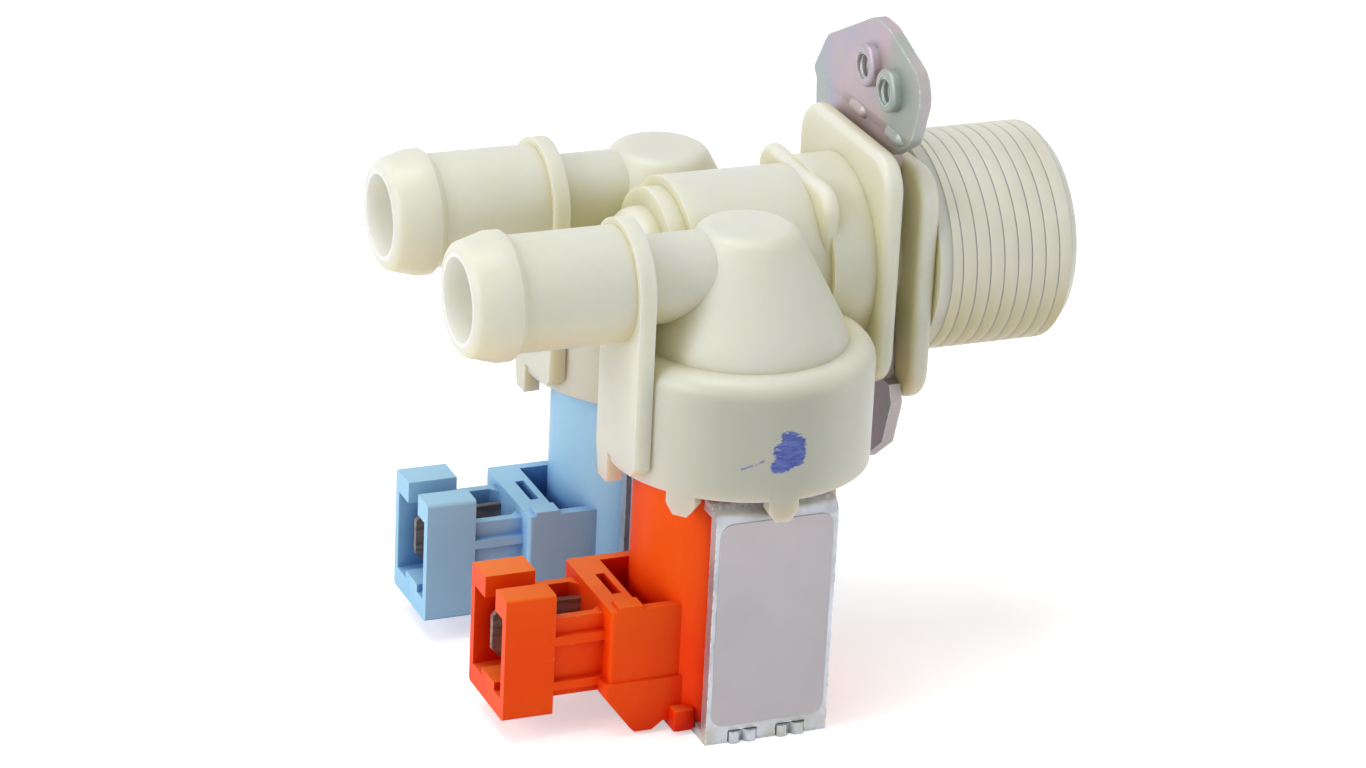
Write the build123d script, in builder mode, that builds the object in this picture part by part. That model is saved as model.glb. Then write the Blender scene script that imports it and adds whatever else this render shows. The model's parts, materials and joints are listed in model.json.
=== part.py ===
from build123d import *
import os

# Double water inlet valve, in millimetres.
# The inlet axis is X, with the thread towards +X and the hose spigots towards -X.
# The origin is on the inlet axis at the shoulder where the thread starts, and +Z is up.

# Inlet tube, with the thread's outer radius, and its bore
thread_radius = 13.22
inlet_length = 18.5
inlet_chamfer = 1.2
inlet_bore_radius = 10.4
inlet_bore_floor = 2.5
throat_radius = 6.4

# Flanges, bracket slot and neck between the inlet and the manifold
front_flange_half_width = 12.2
back_flange_half_width = 12.9
flange_thickness = 2.5
flange_corner = 4.5
edge_round = 1.0
front_flange_top = 12.8
front_flange_bottom = -16.6
back_flange_top = 15.2
back_flange_bottom = -13.8
slot_width = 2.6
slot_neck_radius = 7.9
collar_radius = 11.7
collar_length = 5.4
stop_plate_half_width = 10.2
stop_plate_thickness = 2.2
stop_plate_top = 11.2
stop_plate_bottom = -12.0
stop_plate_corner = 3.2

# Manifold, with two smaller rounded discs on its closed end
manifold_radius = 10.8
manifold_length = 17.0
manifold_wall = 2.4
manifold_round = 0.9
manifold_disc_radius = 9.6
manifold_disc_length = 2.2
manifold_disc_round = 1.3
manifold_knob_radius = 7.4
manifold_knob_length = 3.2
manifold_knob_round = 2.2

# Chambers of the two valves, side by side under the body
valve_x = -25.4
valve_gap = 1.6
skirt_radius = 15.7
skirt_wall = 2.7
skirt_top = -3.6
skirt_bottom = -18.1
skirt_round = 2.4
lug_length = 2.7
lug_width = 3.6
lug_tip_width = 1.8
lug_wall = 2.0
lug_inset = 0.1
lug_root = 2.0
lug_angles = (-43, 92, 137)
tower_top = 9.9
tower_top_radius = 5.6
tower_top_round = 2.0
tower_shoulder = -0.7
tower_shoulder_radius = 11.3
tower_foot_radius = 12.5
tower_foot = -5.0
chamber_roof = -1.4
chamber_roof_radius = 8.6
chamber_shoulder = -6.0
seat_lip = -10.4
seat_radius = 5.2
seat_bore_radius = 3.6

# Hose spigots
spigot_z = 4.36
spigot_end = -60.7
spigot_radius = 6.8
spigot_bore_radius = 4.9
barb_radius = 7.55
barb_nose_radius = 6.5
barb_start = -56.9
barb_end = -55.4
barb_drop = 0.9
barb_round = 0.3
nose_round = 1.1
ring_x = -41.5
ring_thickness = 2.0
ring_radius = 7.6
ring_round = 0.5
neck_radius = 5.24
neck_bore_radius = 3.4
rib_far_side = 4.2
rib_bottom = -17.0
rib_round = 1.0

# Diaphragm, bonnet and armature, from the seat downwards
diaphragm_seat = -12.0
diaphragm_rim_thickness = 1.6
diaphragm_rim_width = 1.9
diaphragm_hub_thickness = 1.2
diaphragm_hub_radius = 6.2
diaphragm_web_thickness = 0.7
insert_radius = 5.0
insert_thickness = 1.3
insert_stem_radius = 2.5
insert_stem_height = 3.0
pilot_radius = 0.6
pilot_boss_radius = 1.5
pilot_boss_height = 1.0
bonnet_flange_thickness = 2.6
bonnet_recess = 1.3
tube_radius = 5.2
tube_wall = 0.6
tube_end = -49.2
tube_floor_thickness = 0.8
armature_clearance = 0.2
armature_bore_radius = 2.7
armature_bore_depth = 12.0
armature_travel = 2.2
seal_radius = 2.3
seal_height = 2.2
seal_proud = 0.6
spring_wire_radius = 0.3
spring_radius = 2.05
spring_turns = 7
spring_facets = 5
working_gap = 0.2

# Flux sleeves, bobbin, winding, coil and yoke, from the guide tube outwards
sleeve_wall = 1.1
sleeve_length = 8.5
bobbin_tube_wall = 0.8
bobbin_flange_thickness = 1.0
winding_depth = 2.3
winding_inset = 0.4
coil_side_wall = 1.25
coil_bulge = 1.95
coil_shoulder_top = -18.8
coil_wall = 1.3
yoke_gap = 0.15
yoke_width = 15.4
yoke_sheet = 1.5
yoke_top = -19.6
yoke_bottom = -49.9
yoke_bend_radius = 1.2
tab_width = 3.5
tab_spacing = 6.1
tab_proud = 0.5
tab_round = 0.5
stake_width = 1.3
stake_depth = 0.7
fit_gap = 0.1

# Plug-in connector of the coil
block_front = -43.4
block_half_width = 7.7
block_top = -33.7
block_bottom = -42.9
pocket_front = -39.5
pocket_half_width = 6.4
pocket_depth = 6.0
moulding_round = 0.5
block_root = -35.0
gusset_slot_depth = 3.0
gusset_slot_length = 5.6
gusset_slot_width = 1.15
gusset_slot_x = -40.9
mouth_x = -55.8
mouth_half_width = 5.85
mouth_length = 6.2
mouth_top = -31.4
mouth_bottom = -46.9
mouth_roof = 2.7
mouth_floor = 2.6
mouth_wall = 1.15
mouth_slot = 3.5
key_offset = -0.5
key_height = 1.0
key_width = 4.2
bridge_top = -34.8
bridge_bottom = -44.8
bridge_floor = 1.6
bridge_half_width = 3.9
bridge_inset = 0.8
bridge_gusset = 0.9
corner_step_length = 3.0
corner_step_width = 2.4
corner_step_height = 0.5
rib_height = 1.1
rib_levels = (-37.4, -43.2)
foot_x = -40.1
foot_bottom = -49.4
foot_toe = 0.6
foot_proud = 0.4
foot_slant_x = -44.0
foot_slant_z = -44.5
foot_notch_start = -37.9
foot_notch_slant = 1.3
foot_notch_height = 1.0
pad_width = 2.3
pad_depth = 2.6
terminal_width = 6.3
terminal_thickness = 0.8
terminal_spacing = 5.0
terminal_z = -39.3
terminal_tip = -54.4
terminal_chamfer = 1.0
terminal_hole_radius = 0.8
terminal_hole_inset = 4.4

# Bracket plate in the slot between the flanges
bracket_sheet = 1.5
bracket_slot_play = 0.15
bracket_notch_play = 0.25
bracket_jog = 0.5
bracket_jog_start = 15.8
bracket_jog_height = 1.6
bracket_bend = 1.0
bracket_corner = 1.2
ear_corner = 3.0
bracket_hole_radius = 1.65
bracket_hole_lead = 0.35
bracket_hole_spacing = 6.3
bracket_hole_tilt = 10
bracket_hole_y = -3.5
bracket_hole_z = 22.5
hole_collar_radius = 2.6
hole_collar_height = 1.2
hole_collar_root = 0.7
hole_collar_round = 0.4
bracket_outline = (
    (-6.1, 13.6),
    (-12.2, 17.3),
    (-14.0, 22.8),
    (-12.9, 25.8),
    (-4.2, 28.8),
    (-0.4, 29.0),
    (12.5, 22.6),
    (16.2, 17.0),
    (15.8, 12.6),
    (14.4, 9.0),
    (14.4, -12.0),
    (10.8, -19.5),
    (5.0, -26.0),
    (-4.2, -26.0),
    (-8.9, -22.2),
    (-10.7, -16.4),
    (-9.8, -14.3),
    (-7.9, -14.3),
    (-5.9, 0.0),
)
bend_rib_radius = 1.0
bend_rib_length = 2.4
bend_rib_z = 16.4
bend_rib_places = (-7.0, 3.2)

# Strainer and flow limiter in the inlet
strainer_rim_radius = 10.3
strainer_rim_thickness = 1.5
strainer_recess = 1.2
strainer_wall = 1.0
strainer_depth = 9.0
strainer_mouth_radius = 8.4
strainer_tip_radius = 5.6
strainer_slots = 12
strainer_slot_width = 1.7
holder_lid = 1.4
holder_hole_radius = 4.6
washer_radius = 8.0
washer_thickness = 2.6
washer_hole_radius = 2.4

# Label on the near leg of the front yoke
label_thickness = 0.12
label_side_margin = 0.6
label_top_margin = 2.0
label_bottom_margin = 2.3
label_corner = 1.6

# Places that follow from the sizes above
front_flange_back = -flange_thickness
slot_back = front_flange_back - slot_width
back_flange_back = slot_back - flange_thickness
collar_back = back_flange_back - collar_length
manifold_end = collar_back - manifold_length
manifold_bore_radius = manifold_radius - manifold_wall
skirt_bore_radius = skirt_radius - skirt_wall
chamber_radius = skirt_bore_radius - diaphragm_rim_width
ring_end = ring_x + ring_thickness
diaphragm_hub_bottom = seat_lip - diaphragm_hub_thickness
insert_top = diaphragm_hub_bottom - 0.5 * fit_gap
insert_bottom = insert_top - insert_thickness
pilot_face = insert_bottom - pilot_boss_height
bonnet_top = diaphragm_seat - diaphragm_rim_thickness
bonnet_bottom = bonnet_top - bonnet_flange_thickness
bonnet_floor = bonnet_top - bonnet_recess
tube_bore_radius = tube_radius - tube_wall
tube_floor = tube_end + tube_floor_thickness
seal_top = pilot_face - working_gap
armature_top = seal_top - seal_proud
armature_bottom = tube_floor + armature_travel + fit_gap
armature_radius = tube_bore_radius - armature_clearance
spring_top = armature_bottom + armature_bore_depth
yoke_inner_top = yoke_top - yoke_sheet
yoke_floor = yoke_bottom + yoke_sheet
sleeve_bore_radius = tube_radius + fit_gap
sleeve_radius = sleeve_bore_radius + sleeve_wall
bobbin_bore_radius = sleeve_radius + fit_gap
winding_bore_radius = bobbin_bore_radius + bobbin_tube_wall
winding_radius = winding_bore_radius + winding_depth
bobbin_flange_radius = winding_radius + winding_inset
coil_flat = bobbin_flange_radius + fit_gap + coil_side_wall
coil_radius = coil_flat + coil_bulge
leg_inner = coil_flat + yoke_gap
leg_outer = leg_inner + yoke_sheet
tab_end = leg_outer + tab_proud
valve_spacing = 2 * leg_outer + valve_gap
coil_top = yoke_inner_top - fit_gap
coil_bottom = yoke_floor + fit_gap
bobbin_top = coil_top - coil_wall
bobbin_bottom = coil_bottom + coil_wall
mouth_back = mouth_x + mouth_length
mouth_height = mouth_top - mouth_roof - mouth_bottom - mouth_floor
bracket_face = front_flange_back - bracket_slot_play
bracket_back = bracket_face - bracket_sheet
bracket_reach = max(abs(place) for corner in bracket_outline for place in corner)
ear_face = bracket_face - bracket_jog
ear_back = ear_face - bracket_sheet
hole_pair = Location((bracket_hole_y, bracket_hole_z, 0), (0, 0, bracket_hole_tilt))
bracket_holes = [hole_pair * Location((side * bracket_hole_spacing / 2, 0, 0)) for side in (-1, 1)]
bend_rib_x = bracket_back + 0.2 * bend_rib_radius
strainer_face = inlet_length - strainer_recess
manifold_disc_end = manifold_end - manifold_disc_length
manifold_knob_end = manifold_disc_end - manifold_knob_length
terminal_root = pocket_front
label_top = yoke_top - label_top_margin
label_bottom = yoke_bottom + label_bottom_margin
seal_bottom = seal_top - seal_height
spring_height = spring_top - tube_floor - 2 * spring_wire_radius
spring_foot = (valve_x, 0, tube_floor + spring_wire_radius)
tab_height = yoke_bottom + yoke_sheet / 2
tab_places = [valve_x + side * tab_spacing / 2 for side in (-1, 1)]
bridge_x = (mouth_back + block_front) / 2
bridge_length = block_front - mouth_back
valve_side = Plane(origin=(valve_x, 0, 0), x_dir=(1, 0, 0), z_dir=(0, -1, 0))
valve_plan = Plane(origin=(valve_x, 0, 0))
valve_axis = Axis((valve_x, 0, 0), (0, 0, 1))


def rounded_plate(x_back, thickness, half_width, bottom, top, corner):
    """Plate across the inlet axis with rounded corners and softened rims."""
    with BuildPart() as plate:
        with BuildSketch(Plane.YZ.offset(x_back)):
            with Locations((0, (bottom + top) / 2)):
                RectangleRounded(2 * half_width, top - bottom, corner)
        extrude(amount=thickness)
        rims = plate.faces().filter_by(Plane.YZ).edges()
        fillet(rims, min(edge_round, 0.45 * thickness))
    return plate.part


def turned(points):
    """Solid turned about the valve axis from (radius, height) points."""
    with BuildPart() as turning:
        with BuildSketch(valve_side):
            Polygon(*points, align=None)
        revolve(axis=valve_axis)
    return turning.part


def ring(outer_radius, inner_radius, bottom, top):
    """Plain ring or, with no inner radius, a plain disc about the valve axis."""
    return turned(
        [(inner_radius, bottom), (outer_radius, bottom), (outer_radius, top), (inner_radius, top)]
    )


# Outside of the inlet: a tube with its end chamfer
with BuildPart() as inlet_tube:
    with BuildSketch(Plane.YZ):
        Circle(thread_radius)
    extrude(amount=inlet_length)
    chamfer(inlet_tube.faces().sort_by(Axis.X)[-1].edges(), inlet_chamfer)

# One hose spigot along X at the front valve: nose, barb, tube, stop ring and neck
with BuildPart() as spigot:
    with BuildSketch(Plane.XZ) as spigot_profile:
        with BuildLine():
            Polyline(
                (spigot_end, 0),
                (spigot_end, barb_nose_radius),
                (barb_start, barb_radius),
                (barb_end, barb_radius),
                (barb_end + barb_drop, spigot_radius),
                (ring_x, spigot_radius),
                (ring_x, ring_radius),
                (ring_end, ring_radius),
                (ring_end, neck_radius),
                (valve_x, neck_radius),
                (valve_x, 0),
                close=True,
            )
        make_face()
        corners = spigot_profile.vertices()
        fillet(corners.filter_by(lambda corner: corner.Y == barb_nose_radius), nose_round)
        fillet(corners.filter_by(lambda corner: corner.Y == ring_radius), ring_round)
        fillet(corners.filter_by(lambda corner: corner.Y == barb_radius), barb_round)
    revolve(axis=Axis.X)

# The tower that carries the outlet, about the valve axis
with BuildPart() as tower:
    with BuildSketch(valve_side) as tower_profile:
        with BuildLine():
            slope = Line((tower_top_radius, tower_top), (tower_shoulder_radius, tower_shoulder))
            Spline(slope @ 1, (tower_foot_radius, tower_foot), tangents=(slope % 1, (0, -1)))
            Polyline(
                (tower_foot_radius, tower_foot),
                (0, tower_foot),
                (0, tower_top),
                (tower_top_radius, tower_top),
            )
        make_face()
        rim = tower_profile.vertices().group_by(Axis.Y)[-1].sort_by(Axis.X)[-1]
        fillet(rim, tower_top_round)
    revolve(axis=valve_axis)

# The skirt under the tower, with its rounded shoulder
with BuildPart() as skirt:
    with BuildSketch(valve_plan.offset(skirt_bottom)):
        Circle(skirt_radius)
    extrude(amount=skirt_top - skirt_bottom)
    fillet(skirt.faces().sort_by(Axis.Z)[-1].edges(), skirt_round)

# One lug of the skirt's rim, on the +X side of the valve axis
with BuildPart() as lug:
    with BuildSketch(Plane.YZ.offset(skirt_radius - lug_wall)):
        with BuildLine():
            Polyline(
                (-lug_width / 2, skirt_bottom + lug_root),
                (-lug_width / 2, skirt_bottom - lug_length / 2),
                (-lug_tip_width / 2, skirt_bottom - lug_length),
                (lug_tip_width / 2, skirt_bottom - lug_length),
                (lug_width / 2, skirt_bottom - lug_length / 2),
                (lug_width / 2, skirt_bottom + lug_root),
                close=True,
            )
        make_face()
    extrude(amount=lug_wall - lug_inset)

# Space inside one chamber: skirt bore and annular chamber, with the seat left standing
chamber = turned(
    [
        (seat_radius, chamber_roof),
        (chamber_roof_radius, chamber_roof),
        (chamber_radius, chamber_shoulder),
        (chamber_radius, diaphragm_seat),
        (skirt_bore_radius, diaphragm_seat),
        (skirt_bore_radius, skirt_bottom),
        (0, skirt_bottom),
        (0, seat_lip),
        (seat_radius, seat_lip),
    ]
)

# Manifold with its two rounded discs at the closed end
with BuildPart() as manifold:
    with BuildSketch(Plane.XZ) as manifold_profile:
        with BuildLine():
            Polyline(
                (collar_back, 0),
                (collar_back, manifold_radius),
                (manifold_end, manifold_radius),
                (manifold_end, manifold_disc_radius),
                (manifold_disc_end, manifold_disc_radius),
                (manifold_disc_end, manifold_knob_radius),
                (manifold_knob_end, manifold_knob_radius),
                (manifold_knob_end, 0),
                close=True,
            )
        make_face()
        far_corners = manifold_profile.vertices().filter_by_position(Axis.X, manifold_knob_end, manifold_end)
        step_corners = [group.sort_by(Axis.Y)[-1] for group in far_corners.group_by(Axis.X)]
        for corner, radius in zip(step_corners, (manifold_knob_round, manifold_disc_round, manifold_round)):
            fillet(corner, radius)
    revolve(axis=Axis.X)

# Half of the body behind the collar, with the front valve's chamber and spigot
with BuildPart() as front_half:
    add(manifold.part)
    with Locations((0, -valve_spacing / 2, 0)):
        add(skirt.part)
    split(bisect_by=Plane.XZ, keep=Keep.TOP)
    with Locations((0, -valve_spacing / 2, 0)):
        add(tower.part)
    with Locations((0, -valve_spacing / 2, spigot_z)):
        add(spigot.part)
    with Locations((0, -valve_spacing / 2, 0)):
        add(chamber, mode=Mode.SUBTRACT)
    with BuildSketch(Plane.XY.offset(seat_lip)):
        with Locations((valve_x, -valve_spacing / 2)):
            Circle(seat_bore_radius)
    extrude(amount=spigot_z - seat_lip, mode=Mode.SUBTRACT)
    with BuildSketch(Plane.YZ.offset(valve_x)):
        with Locations((-valve_spacing / 2, spigot_z)):
            Circle(neck_bore_radius)
    extrude(amount=spigot_end - valve_x, mode=Mode.SUBTRACT)
    with BuildSketch(Plane.YZ.offset(ring_x)):
        with Locations((-valve_spacing / 2, spigot_z)):
            Circle(spigot_bore_radius)
    extrude(amount=spigot_end - ring_x, mode=Mode.SUBTRACT)
    with BuildSketch(Plane.YZ.offset(collar_back)):
        Circle(manifold_bore_radius)
    extrude(amount=manifold_end + manifold_wall - collar_back, mode=Mode.SUBTRACT)

# The moulded body
with BuildPart() as valve_body:
    add(front_half.part)
    mirror(about=Plane.XZ)
    add(inlet_tube.part)
    add(
        rounded_plate(
            front_flange_back,
            flange_thickness,
            front_flange_half_width,
            front_flange_bottom,
            front_flange_top,
            flange_corner,
        )
    )
    add(
        rounded_plate(
            back_flange_back,
            flange_thickness,
            back_flange_half_width,
            back_flange_bottom,
            back_flange_top,
            flange_corner,
        )
    )
    with BuildSketch(Plane.YZ.offset(slot_back)):
        Circle(slot_neck_radius)
    extrude(amount=slot_width)
    with BuildSketch(Plane.YZ.offset(collar_back)):
        Circle(collar_radius)
    extrude(amount=collar_length)
    add(
        rounded_plate(
            collar_back - stop_plate_thickness / 2,
            stop_plate_thickness,
            stop_plate_half_width,
            stop_plate_bottom,
            stop_plate_top,
            stop_plate_corner,
        )
    )
    for side in (-1, 1):
        valve_y = side * valve_spacing / 2
        with BuildSketch(Plane.YZ.offset(ring_x)):
            with Locations((valve_y, 0)):
                Polygon(
                    (-ring_radius, spigot_z),
                    (-ring_radius, rib_bottom + rib_round),
                    (-ring_radius + rib_round, rib_bottom),
                    (rib_far_side - lug_width, rib_bottom),
                    (rib_far_side - lug_width, skirt_bottom - lug_length),
                    (rib_far_side - rib_round, skirt_bottom - lug_length),
                    (rib_far_side, rib_bottom),
                    (rib_far_side, spigot_z),
                    align=None,
                )
            with Locations((valve_y, spigot_z)):
                Circle(spigot_radius, mode=Mode.SUBTRACT)
        extrude(amount=ring_thickness)
        with Locations(*[Location((valve_x, valve_y, 0), (0, 0, side * angle)) for angle in lug_angles]):
            add(lug.part)
    with BuildSketch(Plane.YZ.offset(inlet_bore_floor)):
        Circle(inlet_bore_radius)
    extrude(amount=inlet_length - inlet_bore_floor, mode=Mode.SUBTRACT)
    with BuildSketch(Plane.YZ.offset(inlet_bore_floor)):
        Circle(throat_radius)
    extrude(amount=collar_back - stop_plate_thickness - inlet_bore_floor, mode=Mode.SUBTRACT)

# Collar drawn out of the sheet round a tapped hole, with its soft root and rim, towards -X
with BuildPart() as hole_collar:
    with BuildSketch(Plane.XZ) as collar_profile:
        Polygon(
            (bracket_sheet / 2, 0),
            (bracket_sheet / 2, hole_collar_radius + hole_collar_root),
            (0, hole_collar_radius + hole_collar_root),
            (0, hole_collar_radius),
            (-hole_collar_height, hole_collar_radius),
            (-hole_collar_height, 0),
            align=None,
        )
        waist = collar_profile.vertices().filter_by(lambda corner: corner.Y == hole_collar_radius)
        fillet(waist.sort_by(Axis.X)[0], hole_collar_round)
        fillet(waist.sort_by(Axis.X)[-1], hole_collar_root)
    revolve(axis=Axis.X)

# Rib pressed across the bracket's bend, along Y
with BuildPart() as bend_rib:
    Cylinder(bend_rib_radius, bend_rib_length, rotation=(90, 0, 0))
    with Locations((0, -bend_rib_length / 2, 0), (0, bend_rib_length / 2, 0)):
        Sphere(bend_rib_radius)

# Steel bracket: a jogged sheet, notched from the -Y side so that it slides over the slot's neck
with BuildPart() as mounting_bracket:
    with BuildSketch(Plane.XZ) as bracket_side:
        Polygon(
            (bracket_face, -bracket_reach),
            (bracket_face, bracket_jog_start),
            (ear_face, bracket_jog_start + bracket_jog_height),
            (ear_face, bracket_reach),
            (ear_back, bracket_reach),
            (ear_back, bracket_jog_start + bracket_jog_height),
            (bracket_back, bracket_jog_start),
            (bracket_back, -bracket_reach),
            align=None,
        )
        bends = bracket_side.vertices().filter_by_position(
            Axis.Y, bracket_jog_start, bracket_jog_start + bracket_jog_height
        )
        fillet(bends, bracket_bend)
    extrude(amount=bracket_reach, both=True)
    with BuildSketch(Plane.YZ) as outline:
        Polygon(*bracket_outline, align=None)
        ear_corners = outline.vertices().filter_by(lambda corner: corner.Y > bracket_jog_start)
        tab_corners = outline.vertices().filter_by(lambda corner: corner.Y < bracket_jog_start)
        fillet(ear_corners, ear_corner)
        fillet(tab_corners, bracket_corner)
        Circle(slot_neck_radius + bracket_notch_play, mode=Mode.SUBTRACT)
        with Locations((-bracket_reach / 2, 0)):
            Rectangle(bracket_reach, 2 * (slot_neck_radius + bracket_notch_play), mode=Mode.SUBTRACT)
    extrude(amount=-bracket_reach, mode=Mode.INTERSECT)
    for hole in bracket_holes:
        with Locations((ear_back, hole.position.X, hole.position.Y)):
            add(hole_collar.part)
    with Locations(*[(bend_rib_x, y, bend_rib_z) for y in bend_rib_places]):
        add(bend_rib.part)
    with BuildSketch(Plane.YZ.offset(ear_face)):
        with Locations(*bracket_holes):
            Circle(bracket_hole_radius)
    extrude(amount=-bracket_sheet - hole_collar_height, mode=Mode.SUBTRACT)
    hole_rims = mounting_bracket.edges().filter_by(GeomType.CIRCLE)
    hole_rims = hole_rims.filter_by(lambda edge: abs(edge.radius - bracket_hole_radius) < 0.001)
    fillet(hole_rims.group_by(Axis.X)[-1], bracket_hole_lead)

# Strainer: a slotted cup whose rim is a push fit in the bore, just inside the mouth
with BuildPart() as inlet_strainer:
    with BuildSketch(Plane.XZ):
        Polygon(
            (strainer_face, strainer_mouth_radius),
            (strainer_face, strainer_rim_radius),
            (strainer_face - strainer_rim_thickness, strainer_rim_radius),
            (strainer_face - strainer_rim_thickness, strainer_mouth_radius + strainer_wall),
            (strainer_face - strainer_depth, strainer_tip_radius + strainer_wall),
            (strainer_face - strainer_depth, 0),
            (strainer_face - strainer_depth + strainer_wall, 0),
            (strainer_face - strainer_depth + strainer_wall, strainer_tip_radius),
            align=None,
        )
    revolve(axis=Axis.X)
    with BuildSketch(Plane.YZ.offset(strainer_face - strainer_depth + 2 * strainer_wall)):
        with PolarLocations((strainer_mouth_radius + strainer_tip_radius) / 2, strainer_slots):
            Rectangle(strainer_rim_radius - strainer_tip_radius, strainer_slot_width)
    extrude(amount=strainer_depth - 3 * strainer_wall - strainer_rim_thickness, mode=Mode.SUBTRACT)

# Flow limiter at the bottom of the inlet bore: rubber washer, and the holder that keeps it there
with BuildPart() as flow_washer:
    with BuildSketch(Plane.YZ.offset(inlet_bore_floor)):
        Circle(washer_radius)
        Circle(washer_hole_radius, mode=Mode.SUBTRACT)
    extrude(amount=washer_thickness)

with BuildPart() as flow_regulator_holder:
    with BuildSketch(Plane.YZ.offset(inlet_bore_floor)):
        Circle(inlet_bore_radius - fit_gap)
        Circle(washer_radius + fit_gap, mode=Mode.SUBTRACT)
    extrude(amount=washer_thickness + fit_gap)
    with BuildSketch(Plane.YZ.offset(inlet_bore_floor + washer_thickness + fit_gap)):
        Circle(inlet_bore_radius - fit_gap)
        Circle(holder_hole_radius, mode=Mode.SUBTRACT)
    extrude(amount=holder_lid)

# The pieces of one valve, about the valve axis at Y = 0

# Diaphragm with its rim bead, thin web and hub
diaphragm = turned(
    [
        (insert_stem_radius, seat_lip),
        (diaphragm_hub_radius, seat_lip),
        (chamber_radius - diaphragm_web_thickness, diaphragm_seat),
        (skirt_bore_radius - fit_gap, diaphragm_seat),
        (skirt_bore_radius - fit_gap, bonnet_top),
        (chamber_radius, bonnet_top),
        (chamber_radius - diaphragm_web_thickness, diaphragm_seat - diaphragm_web_thickness),
        (diaphragm_hub_radius, diaphragm_hub_bottom),
        (insert_stem_radius, diaphragm_hub_bottom),
    ]
)

# Insert under the diaphragm, with its stem in the seat, the pilot boss and the pilot hole
diaphragm_insert = turned(
    [
        (pilot_radius, pilot_face),
        (pilot_boss_radius, pilot_face),
        (pilot_boss_radius, insert_bottom),
        (insert_radius, insert_bottom),
        (insert_radius, diaphragm_hub_bottom),
        (insert_stem_radius, diaphragm_hub_bottom),
        (insert_stem_radius, seat_lip + insert_stem_height),
        (pilot_radius, seat_lip + insert_stem_height),
    ]
)

# Bonnet: guide tube closed below, with the flange that clamps the diaphragm rim
bonnet = turned(
    [
        (0, tube_end),
        (tube_radius, tube_end),
        (tube_radius, bonnet_bottom),
        (skirt_bore_radius - fit_gap, bonnet_bottom),
        (skirt_bore_radius - fit_gap, bonnet_top),
        (chamber_radius, bonnet_top),
        (chamber_radius, bonnet_floor),
        (tube_bore_radius, bonnet_floor),
        (tube_bore_radius, tube_floor),
        (0, tube_floor),
    ]
)

# Armature with the seal's pocket above and the spring's bore below
armature = turned(
    [
        (armature_bore_radius, armature_bottom),
        (armature_radius, armature_bottom),
        (armature_radius, armature_top),
        (seal_radius, armature_top),
        (seal_radius, seal_bottom),
        (0, seal_bottom),
        (0, spring_top),
        (armature_bore_radius, spring_top),
    ]
)
armature_seal = ring(seal_radius, 0, seal_bottom, seal_top)

with BuildPart() as armature_spring:
    with BuildLine() as spring_path:
        Helix(spring_height / spring_turns, spring_height, spring_radius, center=spring_foot)
    with BuildSketch(valve_side):
        with Locations((spring_radius, spring_foot[2])):
            RegularPolygon(spring_wire_radius, spring_facets)
    sweep(path=spring_path.wires()[0], is_frenet=True)

# Flux sleeves inside the bobbin, at the two steel ends
upper_sleeve = ring(sleeve_radius, sleeve_bore_radius, yoke_inner_top - sleeve_length, yoke_inner_top)
lower_sleeve = ring(sleeve_radius, sleeve_bore_radius, yoke_floor, yoke_floor + sleeve_length)

# Bobbin and winding
bobbin = turned(
    [
        (bobbin_bore_radius, bobbin_bottom),
        (bobbin_flange_radius, bobbin_bottom),
        (bobbin_flange_radius, bobbin_bottom + bobbin_flange_thickness),
        (winding_bore_radius, bobbin_bottom + bobbin_flange_thickness),
        (winding_bore_radius, bobbin_top - bobbin_flange_thickness),
        (bobbin_flange_radius, bobbin_top - bobbin_flange_thickness),
        (bobbin_flange_radius, bobbin_top),
        (bobbin_bore_radius, bobbin_top),
    ]
)
winding = ring(
    winding_radius,
    winding_bore_radius,
    bobbin_bottom + bobbin_flange_thickness,
    bobbin_top - bobbin_flange_thickness,
)

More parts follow.
